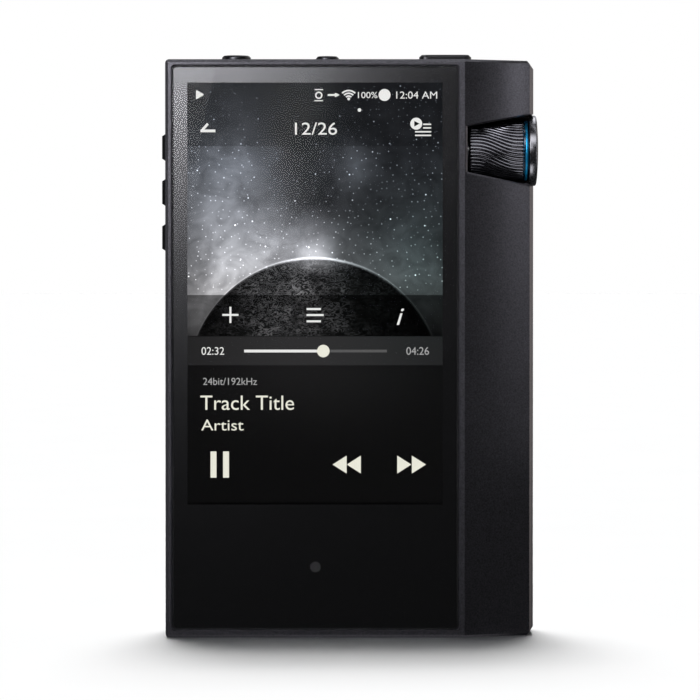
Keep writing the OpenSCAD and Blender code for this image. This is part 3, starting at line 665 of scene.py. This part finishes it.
image_margin = 0.1
image_outline = rounded(SCREEN_X0 - image_margin, SCREEN_X1 + image_margin, SCREEN_Z0 - image_margin,
                        SCREEN_Z1 + image_margin, 0.1)
plate("screen_image", [(depth, image_outline) for depth in IMAGE_DEPTHS], surface=Picture().lit(),
      slot="display_panel", stands_for=("touch_sensor",), smooth=None)


class Marks:
    """Flat marks on the lit display, in millimetres from its lower left corner.

    A higher layer lies in front of a lower one.
    """

    def __init__(self, layer=0):
        self.points = []
        self.faces = []
        self.near = FRONT + MARK_DEPTH - layer * LAYER_STEP
        self.far = self.near + MARK_THICK

    def shape(self, outline):
        """A flat plate with that outline."""
        count = len(outline)
        start = len(self.points)
        for depth in (self.near, self.far):
            self.points += [(SCREEN_X0 + a, depth, SCREEN_Z0 + b) for a, b in outline]
        self.faces.append(tuple(range(start, start + count)))
        self.faces.append(tuple(range(start + 2 * count - 1, start + count - 1, -1)))
        for i in range(count):
            j = (i + 1) % count
            self.faces.append((start + j, start + i, start + count + i, start + count + j))

    def bar(self, a, b, wide, tall):
        """A bar from its left end, centred on height b."""
        low = b - tall / 2
        high = b + tall / 2
        self.shape([(a, low), (a + wide, low), (a + wide, high), (a, high)])

    def stroke(self, a0, b0, a1, b1, thick):
        """A straight line with square ends."""
        length = math.hypot(a1 - a0, b1 - b0)
        side_a = -(b1 - b0) / length * thick / 2
        side_b = (a1 - a0) / length * thick / 2
        self.shape([(a0 - side_a, b0 - side_b), (a1 - side_a, b1 - side_b), (a1 + side_a, b1 + side_b),
                    (a0 + side_a, b0 + side_b)])

    def arc(self, a, b, radius, thick, start=0, stop=360, steps=32):
        """Part of a ring, or a whole one, by angle from the right."""
        inner = radius - thick / 2
        outer = radius + thick / 2
        for i in range(steps):
            near, far = (math.radians(start + (stop - start) * (i + k) / steps) for k in (0, 1))
            self.shape([(a + inner * math.cos(near), b + inner * math.sin(near)),
                        (a + outer * math.cos(near), b + outer * math.sin(near)),
                        (a + outer * math.cos(far), b + outer * math.sin(far)),
                        (a + inner * math.cos(far), b + inner * math.sin(far))])

    def disc(self, a, b, radius):
        self.shape(circle(a, b, radius, 40))

    def arrow_head(self, a0, a1, b, tall):
        """A triangle with its upright side at a0 and its point at a1."""
        self.shape([(a0, b - tall / 2), (a1, b), (a0, b + tall / 2)])

    def words(self, text, a0, a1, b, cap, lean=0.0):
        """Lettering in the built-in font that fills a0 to a1, with its capitals centred on height b."""
        curve = bpy.data.curves.new("letters", "FONT")
        curve.body = text
        curve.shear = lean
        curve.resolution_u = 6
        obj = bpy.data.objects.new("letters", curve)
        bpy.context.scene.collection.objects.link(obj)
        bpy.context.view_layer.update()
        mesh = obj.to_mesh()
        low = min(v.co.x for v in mesh.vertices)
        high = max(v.co.x for v in mesh.vertices)
        wide = (a1 - a0) / (high - low)
        tall = cap / FONT_CAP
        for polygon in mesh.polygons:
            outline = [mesh.vertices[i].co for i in polygon.vertices]
            self.shape([(a0 + (p.x - low) * wide, b - cap / 2 + p.y * tall) for p in outline])
        obj.to_mesh_clear()
        bpy.data.objects.remove(obj)
        bpy.data.curves.remove(curve)

    def piece(self, name, surface):
        return piece(name, self.points, self.faces, surface, slot="display_panel", smooth=None)


def mark_light(name, colour, strength=1.0):
    """The glow of a mark, with the faint unevenness of a backlight."""
    surface = Surface(name, (0.01, 0.01, 0.01), 0.0, 0.5, Specular_IOR_Level=0.0)
    uneven = surface.noise(6.0, 2.0)
    pale = tuple(c * 1.03 for c in colour)
    dim = tuple(c * 0.94 for c in colour)
    surface.link(surface.mix(uneven, dim, pale), "Emission Color")
    surface.set("Emission Strength", strength)
    return surface


def white_marks():
    """The status row, the track row, the tools and the time line."""
    marks = Marks()
    marks.arrow_head(1.47, 2.85, STATUS_ROW + 0.05, 1.6)
    marks.bar(21.3, STATUS_ROW + 0.9, 1.4, 0.18)
    marks.bar(21.3, STATUS_ROW - 0.95, 1.4, 0.18)
    marks.arc(22.0, STATUS_ROW - 0.05, 0.5, 0.24)
    marks.bar(23.5, STATUS_ROW, 1.4, 0.3)
    marks.arrow_head(24.7, 25.5, STATUS_ROW, 0.8)
    for radius in (0.62, 1.08, 1.54):
        marks.arc(27.0, STATUS_ROW - 0.8, radius, 0.25, 45, 135, 14)
    marks.disc(27.0, STATUS_ROW - 0.65, 0.24)
    marks.words("100%", 28.55, 31.8, STATUS_ROW, 1.05)
    marks.disc(33.0, STATUS_ROW, 1.0)
    marks.words("12:04 AM", 34.95, 41.8, STATUS_ROW, 1.2)
    marks.disc(28.8, 66.04, 0.3)

    marks.bar(2.2, TRACK_ROW - 0.4, 2.5, 0.46)
    marks.stroke(2.35, TRACK_ROW - 0.45, 3.45, TRACK_ROW + 0.8, 0.42)
    marks.words("12/26", 18.0, 25.05, TRACK_ROW, 2.05)
    marks.disc(38.3, TRACK_ROW + 0.8, 1.0)
    for a, rise, wide in ((39.45, 0.7, 1.35), (39.45, 0.1, 1.35), (38.1, -0.55, 2.7), (38.1, -1.15, 2.7)):
        marks.bar(a, TRACK_ROW + rise, wide, 0.24)

    marks.bar(5.85, TOOL_ROW + 0.02, 2.7, 0.33)
    marks.bar(7.035, TOOL_ROW + 0.02, 0.33, 2.7)
    for rise, wide in ((1.0, 2.4), (0.0, 2.85), (-1.05, 2.4)):
        marks.bar(19.95, TOOL_ROW + rise, wide, 0.34)
    marks.words("i", 35.05, 36.25, TOOL_ROW - 0.15, 3.0, 0.3)

    marks.words("02:32", 2.35, 6.15, TIME_ROW + 0.03, 1.3)
    marks.bar(9.5, TIME_ROW, 13.2, 0.46)
    marks.piece("screen_marks", mark_light("mark_white", (0.97, 0.97, 0.95), 1.1))


def cream_marks():
    """The knob of the time line, the title, the artist and the player's controls."""
    marks = Marks(1)
    marks.disc(22.75, TIME_ROW, 1.05)
    marks.words("Track Title", 2.15, 17.85, 17.1, 2.44)
    marks.words("Artist", 2.3, 9.4, 13.35, 1.85)
    for a in (3.85, 5.95):
        marks.bar(a, CONTROL_ROW, 1.0, 4.4)
    for tail, tip in ((26.66, 24.3), (29.04, 26.68), (35.13, 37.5), (37.58, 39.95)):
        marks.arrow_head(tail, tip, CONTROL_ROW, 3.0)
    marks.piece("screen_marks_cream", mark_light("mark_cream", (0.97, 0.96, 0.83), 1.1))


def dull_marks():
    """The grey lettering, the rest of the time line and the black arrow in the white disc."""
    grey = Marks()
    grey.words("04:26", 36.65, 40.45, TIME_ROW + 0.03, 1.3)
    grey.words("24bit/192kHz", 2.6, 11.65, 20.65, 1.2)
    grey.piece("screen_marks_grey", mark_light("mark_grey", (0.5, 0.5, 0.5)))

    dim = Marks(2)
    dim.bar(23.9, TIME_ROW, 9.5, 0.46)
    dim.piece("screen_marks_dim", mark_light("mark_dim", (0.12, 0.12, 0.12)))

    black = Marks(2)
    black.arrow_head(37.97, 38.85, TRACK_ROW + 0.8, 0.95)
    black.piece("screen_marks_black", mark_light("mark_black", (0.004, 0.004, 0.004)))


white_marks()
cream_marks()
dull_marks()


# ---------------------------------------------------------------- volume wheel

AXIS_Z = (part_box("wheel_end_cap")[0].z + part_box("wheel_end_cap")[1].z) / 2 / MM
HUB_R = 3.3

# The grip: its ridges run from X0 to X1, and a plain lip goes on to LIP. R0 and R1 are its radii there.
GRIP_X0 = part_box("volume_wheel")[0].x / MM
GRIP_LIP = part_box("volume_wheel")[1].x / MM
GRIP_X1 = GRIP_LIP - 0.17
GRIP_R1 = (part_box("volume_wheel")[1].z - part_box("volume_wheel")[0].z) / 2 / MM
GRIP_R0 = GRIP_R1 - 0.5
LIP_R = GRIP_R1 - 0.3
RIDGES = 46
RIDGE_HEIGHT = 0.17
RIDGE_TURN = math.radians(28)
CREST_POWER = 0.45

CAP_R = (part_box("wheel_end_cap")[1].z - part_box("wheel_end_cap")[0].z) / 2 / MM
CAP_X0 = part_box("wheel_hub")[1].x / MM
CAP_X1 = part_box("wheel_end_cap")[1].x / MM
RING_X1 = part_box("wheel_accent_ring")[1].x / MM


def around_axis(x, radius, angle):
    """A point of the wheel, by its angle from straight up."""
    return (x, -radius * math.sin(angle), AXIS_Z + radius * math.cos(angle))


def ribbed_grip():
    """Rounded ridges that sweep along the grip in an S, flat at both ends."""
    around = RIDGES * 10
    along = 40
    end_rounding = 0.22
    points = []
    for j in range(along + 1):
        part = j / along
        x = GRIP_X0 + (GRIP_X1 - GRIP_X0) * part
        shift = RIDGE_TURN * (part - math.sin(math.tau * part) / math.tau)
        from_end = min(x - GRIP_X0, GRIP_X1 - x)
        rounding = end_rounding * (1 - min(1, from_end / end_rounding)) ** 2
        base = GRIP_R0 + (GRIP_R1 - GRIP_R0) * part - rounding
        for i in range(around):
            a = math.tau * i / around
            wave = abs(math.cos(RIDGES * a / 2))
            radius = base - RIDGE_HEIGHT * (1 - wave ** CREST_POWER)
            points.append(around_axis(x, radius, a + shift))
    faces = ring_faces(along + 1, around, False)

    start = len(points)
    for x, radius in ((GRIP_X0, HUB_R), (GRIP_LIP, HUB_R), (GRIP_LIP, LIP_R), (GRIP_X1, LIP_R)):
        shift = RIDGE_TURN if x > GRIP_X0 else 0
        points += [around_axis(x, radius, math.tau * i / around + shift) for i in range(around)]
    loops = [0, start, start + around, start + 2 * around, start + 3 * around, along * around]
    for near, far in zip(loops, loops[1:]):
        for i in range(around):
            j = (i + 1) % around
            faces.append((near + i, near + j, far + j, far + i))
    piece("ribbed_grip", points, faces, grip_metal, WHEEL, "wheel_metal", ("volume_wheel",), 35)


def blue_ring():
    """A slim ring with a slightly crowned rim, between the grip and the cap."""
    middle = (GRIP_LIP + RING_X1) / 2
    profile = [(GRIP_LIP, HUB_R), (GRIP_LIP, GRIP_R1 - 0.14), (middle - 0.1, GRIP_R1 - 0.03),
               (middle + 0.1, GRIP_R1 - 0.02), (RING_X1, GRIP_R1 - 0.12), (RING_X1, HUB_R)]
    turned("blue_ring", profile, surface=blue_metal, slot="accent_blue",
           stands_for=("wheel_accent_ring",), smooth=50)


def arc_profile(cx, cr, radius, start, stop, steps):
    """Points of an arc in (x, radius) space, by angle from the axis direction."""
    turns = [math.radians(start + (stop - start) * i / steps) for i in range(steps + 1)]
    return [(cx + radius * math.cos(t), cr + radius * math.sin(t)) for t in turns]


def domed_cap():
    """The cap's shallow dome and rounded rim, with the spigot that plugs into the hub."""
    rise = 0.3
    rim = 0.3
    back_edge = 0.12
    spigot = 2.0
    pinhole = 0.002
    profile = [(CAP_X0 - spigot, spigot), (CAP_X0, spigot), (CAP_X0, CAP_R - back_edge)]
    profile += arc_profile(CAP_X0 + back_edge, CAP_R - back_edge, back_edge, 180, 90, 3)[1:]
    profile += arc_profile(CAP_X1 - rise - rim, CAP_R - rim, rim, 90, 8, 6)
    steps = 14
    for i in range(1, steps + 1):
        radius = (CAP_R - rim) * (1 - i / steps)
        x = CAP_X1 - rise * (radius / CAP_R) ** 2
        profile.append((x, max(radius, pinhole)))
    profile.append((CAP_X0 - spigot, pinhole))
    turned("domed_cap", profile, surface=cap_metal, slot="cap_metal", stands_for=("wheel_end_cap",),
           smooth=60)


ribbed_grip()
blue_ring()
domed_cap()

EDGE_WIDTHS = {
    "main_body": 0.07,
    "back_cover": 0.15,
    "power_button": 0.07,
    "previous_button": 0.07,
    "play_button": 0.07,
    "next_button": 0.07,
    "headphone_collar": 0.05,
    "balanced_collar": 0.05,
}
for node, width in EDGE_WIDTHS.items():
    soften(node, width)


# ---------------------------------------------------------------- floor, light and camera

COOL = (0.97, 0.97, 1.0, 1)
WARM = (1.0, 0.91, 0.83, 1)


def rectangle(name, half_wide, half_tall, surface):
    """A flat rectangle about its own centre, in metres."""
    mesh = bpy.data.meshes.new(name)
    mesh.from_pydata([(-half_wide, -half_tall, 0), (half_wide, -half_tall, 0), (half_wide, half_tall, 0),
                      (-half_wide, half_tall, 0)], [], [(0, 1, 2, 3)])
    mesh.materials.append(surface.material)
    obj = bpy.data.objects.new(name, mesh)
    bpy.context.scene.collection.objects.link(obj)
    return obj


def lay_floor():
    """Pale paper under the part, out to where the floor can't be told from the background."""
    paper = Surface("floor_paper", (0.9, 0.9, 0.9), 0.0, 0.9)
    paper.set("Specular IOR Level", 0.0)
    paper.shade(paper.noise(40.0, 2.0), 0.01)
    reach = 60.0
    floor = rectangle("floor", reach, reach, paper)
    floor.visible_glossy = False
    floor.visible_transmission = False


def overhead_sun(name, lean_x, lean_y, spread, strength):
    """Soft light from above, leaning by those angles. Reflections don't show it."""
    sun = bpy.data.lights.new(name, "SUN")
    sun.energy = strength
    sun.angle = math.radians(spread)
    lamp = bpy.data.objects.new(name, sun)
    lamp.rotation_euler = (math.radians(-lean_y), math.radians(lean_x), 0)
    lamp.visible_glossy = False
    bpy.context.scene.collection.objects.link(lamp)


def card(name, place, size, toward, peak, width, centre=(0, 0), base=0.0, tint=COOL):
    """A glowing card for reflections, which the camera doesn't see.

    Lengths are in millimetres. The light peaks at the centre, measured from the card's middle, and
    fades smoothly over the width to the base level.
    """
    light = Surface(name + "_light", (0, 0, 0), 0.0, 1.0)
    light.set("Specular IOR Level", 0.0)
    across = light.axis("X").bell(centre[0], width[0])
    up = light.axis("Y").bell(centre[1], width[1])
    light.link(across * up * peak + base, "Emission Strength")
    light.set("Emission Color", tint)
    pane = rectangle(name, size[0] / 2 * MM, size[1] / 2 * MM, light)
    pane.location = Vector(place) * MM
    pane.rotation_euler = (Vector(toward) - Vector(place)).to_track_quat("Z", "Y").to_euler()
    pane.visible_camera = False
    pane.visible_diffuse = False
    pane.visible_shadow = False


def white_world():
    """White to the camera, and only a faint cool light on the part."""
    world = bpy.data.worlds.new("studio")
    world.use_nodes = True
    tree = world.node_tree
    tree.nodes.clear()
    path = tree.nodes.new("ShaderNodeLightPath")
    seen = tree.nodes.new("ShaderNodeBackground")
    seen.inputs["Strength"].default_value = 1.0
    seen.inputs["Color"].default_value = (1, 1, 1, 1)
    felt = tree.nodes.new("ShaderNodeBackground")
    felt.inputs["Color"].default_value = (0.9, 0.93, 1.0, 1)
    felt.inputs["Strength"].default_value = 0.035
    pick = tree.nodes.new("ShaderNodeMixShader")
    output = tree.nodes.new("ShaderNodeOutputWorld")
    tree.links.new(path.outputs["Is Camera Ray"], pick.inputs[0])
    tree.links.new(felt.outputs[0], pick.inputs[1])
    tree.links.new(seen.outputs[0], pick.inputs[2])
    tree.links.new(pick.outputs[0], output.inputs["Surface"])
    bpy.context.scene.world = world


def build_camera():
    """A long lens straight on to the front, a little above the part's middle and tilted down a degree."""
    camera = bpy.data.cameras.new("camera")
    camera.lens = 177.5
    camera.sensor_width = 36
    camera.clip_start = 0.01
    camera.clip_end = 100
    viewer = bpy.data.objects.new("camera", camera)
    viewer.location = (0, -0.5846, 0.05823)
    viewer.rotation_euler = (math.radians(90 - 0.996), 0, 0)
    bpy.context.scene.collection.objects.link(viewer)
    bpy.context.scene.camera = viewer


lay_floor()

overhead_sun("overhead_back", lean_x=-1, lean_y=31, spread=20, strength=1.1)
overhead_sun("overhead_mid", lean_x=-1.5, lean_y=19, spread=22, strength=1.8)
overhead_sun("overhead_top", lean_x=-1, lean_y=9, spread=16, strength=0.75)

card("front_card", place=(0, -800, 60), size=(900, 900), toward=(0, 0, 60),
     peak=6.2, centre=(66, 160), width=(43, 92), base=0.025)
card("left_card", place=(-101, -140, 134), size=(110, 150), toward=(-20, 0, 75),
     peak=19.0, centre=(-10, -4), width=(38, 46))
card("top_card", place=(-20, -250, 262), size=(320, 190), toward=(0, 0, 84),
     peak=4.6, width=(220, 85))
card("overhead_card", place=(0, 190, 420), size=(300, 330), toward=(0, 0, 100),
     peak=5.0, width=(180, 150))
card("strip_card", place=(39, -13.5, 86), size=(3, 120), toward=(28, -4.5, 82),
     peak=2.6, centre=(0, 10), width=(3, 64))
card("low_card", place=(5, -75, -62), size=(48, 100), toward=(5, -75, 50),
     peak=3.4, width=(60, 70))
card("foot_card", place=(0, -8, -2), size=(70, 9), toward=(0, -8, 50),
     peak=0.4, width=(60, 6))
card("back_card", place=(180, 480, 260), size=(420, 300), toward=(0, 0, 50),
     peak=1.6, width=(220, 150))
card("far_left_card", place=(-420, 160, 140), size=(300, 400), toward=(0, 0, 50),
     peak=1.2, width=(160, 240))
card("right_card", place=(400, 110, 150), size=(300, 440), toward=(0, 0, 50),
     peak=1.95, width=(180, 300), tint=WARM)

white_world()
build_camera()
bpy.context.scene.view_settings.view_transform = "Standard"
